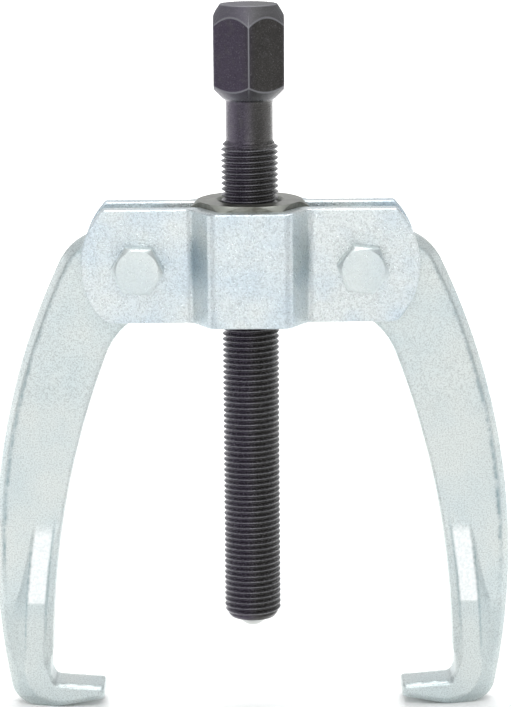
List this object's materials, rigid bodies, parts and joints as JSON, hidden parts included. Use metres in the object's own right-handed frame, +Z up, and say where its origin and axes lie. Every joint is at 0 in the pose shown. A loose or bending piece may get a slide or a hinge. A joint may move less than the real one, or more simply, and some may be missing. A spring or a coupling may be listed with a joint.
{
  "type": "gear puller",
  "caption": "Gear puller: a threaded spindle with a hexagon head and a ball tip runs through a nut held between bent plates, and forged hooked legs swing from the plates.",
  "frame": {"origin": "on the spindle's axis, level with the lowest point of the claws", "axes": "+Z up along the spindle to its hexagon head, +X to the right leg, -Y to the front, where the pivot bolts' heads are"},
  "size_m": [0.1266, 0.033, 0.174],
  "materials": {
    "zinc_plate": "sheared and bent steel, shot-blasted, pale zinc plating",
    "zinc_forging": "drop-forged steel, shot-blasted, pale zinc plating",
    "zinc_fastener": "cold-headed steel, pale zinc plating",
    "bare_steel": "bare machined steel, darkened by oil",
    "black_oxide": "black oxide on rolled thread, oiled",
    "ball_steel": "ground bearing ball",
    "nylon": "natural nylon"
  },
  "bodies": {
    "crosshead": {"front_plate": "zinc_plate", "rear_plate": "zinc_plate", "spindle_nut": "bare_steel", "left_pivot_bolt": "zinc_fastener", "right_pivot_bolt": "zinc_fastener", "left_washer": "zinc_fastener", "right_washer": "zinc_fastener", "left_lock_nut": "zinc_fastener", "right_lock_nut": "zinc_fastener", "left_lock_insert": "nylon", "right_lock_insert": "nylon"},
    "left_leg": {"left_leg": "zinc_forging"},
    "right_leg": {"right_leg": "zinc_forging"},
    "ball": {"pressure_ball": "ball_steel"},
    "spindle": {"spindle": "black_oxide"}
  },
  "joints": [
    {"name": "left_leg_swing", "type": "hinge", "parent": "crosshead", "child": "left_leg", "pos_m": [-0.027, 0, 0.1115], "axis": [0, 1, 0], "range_deg": [-15, 50]},
    {"name": "right_leg_swing", "type": "hinge", "parent": "crosshead", "child": "right_leg", "pos_m": [0.027, 0, 0.1115], "axis": [0, -1, 0], "range_deg": [-15, 50]},
    {"name": "spindle_feed", "type": "slide", "parent": "crosshead", "child": "ball", "axis": [0, 0, 1], "range_m": [-0.024, 0.066]},
    {"name": "spindle_turn", "type": "hinge", "parent": "ball", "child": "spindle", "pos_m": [0, 0, 0.0238], "axis": [0, 0, 1], "range_deg": [-6307, 17344]}
  ],
  "couplings": [
    {"joint": "spindle_turn", "follows": "spindle_feed", "rad_per_m": 4586.3}
  ]
}
